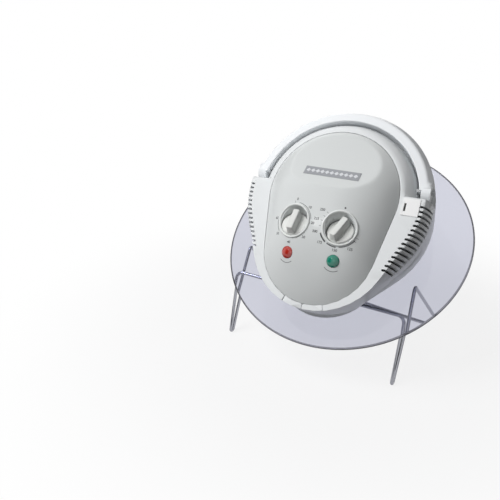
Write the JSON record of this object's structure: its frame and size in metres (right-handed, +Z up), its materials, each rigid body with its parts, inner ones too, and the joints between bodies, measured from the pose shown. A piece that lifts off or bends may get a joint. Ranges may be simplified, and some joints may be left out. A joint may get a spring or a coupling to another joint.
{
  "type": "halogen oven",
  "caption": "Halogen oven lid unit: round glass lid with a heating head, two dials and a swinging carry handle, leaning on a bent wire stand.",
  "frame": {"origin": "on the table under the middle of the bounding box", "axes": "+Z up, controls toward -Y, +X to the right of the person at the controls"},
  "size_m": [0.34, 0.2927, 0.3165],
  "materials": {
    "chrome_wire": "bright chrome plate",
    "tempered_glass": "clear tempered glass, faint violet grey",
    "white_shell": "satin moulded plastic",
    "white_handle": "satin moulded plastic",
    "panel_shell": "satin moulded plastic with printed scales",
    "knob_plastic": "glossy moulded plastic",
    "red_lens": "clear red acrylic",
    "green_lens": "clear green acrylic",
    "seal_silicone": "matt silicone",
    "sheet_steel": "rolled and zinc plated",
    "aluminium_sheet": "bright rolled sheet",
    "quartz_tube": "clear quartz",
    "ceramic": "unglazed ceramic",
    "iron_core": "stacked sheet laminations",
    "copper_winding": "enamelled copper wire with tape",
    "bush_bronze": "sintered bronze",
    "spindle_steel": "turned steel",
    "black_plastic": "moulded phenolic",
    "neon_lamp": "small neon bulbs in sockets",
    "fan_nylon": "moulded nylon",
    "wire_insulation": "silicone insulated wires"
  },
  "bodies": {
    "stand": {"lid_stand": "chrome_wire"},
    "lid": {"glass_lid": "tempered_glass", "glass_seal": "seal_silicone", "lower_housing": "white_shell", "upper_housing": "white_shell", "control_panel": "panel_shell", "power_lens": "red_lens", "heat_lens": "green_lens", "signal_lamps": "neon_lamp", "timer_unit": "bush_bronze", "timer_bell": "sheet_steel", "thermostat": "black_plastic", "thermostat_bulb": "bush_bronze", "terminal_block": "ceramic", "wire_harness": "wire_insulation", "heat_shield": "sheet_steel", "motor_posts": "sheet_steel", "motor_plate": "sheet_steel", "motor_core": "iron_core", "motor_coil": "copper_winding", "shaft_bushes": "bush_bronze", "reflector_pan": "aluminium_sheet", "halogen_lamp": "quartz_tube", "lamp_holders": "ceramic", "guard_grille": "chrome_wire", "guard_screws": "sheet_steel", "thermal_fuse": "ceramic", "cord_gland": "fan_nylon", "housing_screws": "sheet_steel", "pivot_pins": "sheet_steel", "latch_block": "white_shell", "safety_switch": "black_plastic"},
    "fan": {"fan_shaft": "spindle_steel", "motor_rotor": "iron_core", "cooling_fan": "fan_nylon", "hot_air_fan": "aluminium_sheet", "fan_nut": "sheet_steel"},
    "timer_dial": {"timer_knob": "knob_plastic", "timer_spindle": "spindle_steel"},
    "temperature_dial": {"temperature_knob": "knob_plastic", "temperature_spindle": "spindle_steel"},
    "carry_handle": {"handle": "white_handle"}
  },
  "joints": [
    {"name": "lid_lift", "type": "slide", "parent": "stand", "child": "lid", "axis": [0, 0, 1], "range_m": [0, 0.15]},
    {"name": "fan_spin", "type": "hinge", "parent": "lid", "child": "fan", "pos_m": [0, 0.0029, 0.14757], "axis": [0, -0.5505, 0.8348], "continuous": true},
    {"name": "timer_turn", "type": "hinge", "parent": "lid", "child": "timer_dial", "pos_m": [-0.02674, -0.10971, 0.20688], "axis": [0, -0.5505, 0.8348], "range_deg": [-300, 0]},
    {"name": "temperature_turn", "type": "hinge", "parent": "lid", "child": "temperature_dial", "pos_m": [0.0322, -0.10748, 0.20835], "axis": [0, -0.5505, 0.8348], "range_deg": [-270, 0]},
    {"name": "handle_swing", "type": "hinge", "parent": "lid", "child": "carry_handle", "pos_m": [-0.00121, -0.02397, 0.23677], "axis": [0.999, 0.0379, 0.025], "range_deg": [0, 90]}
  ]
}
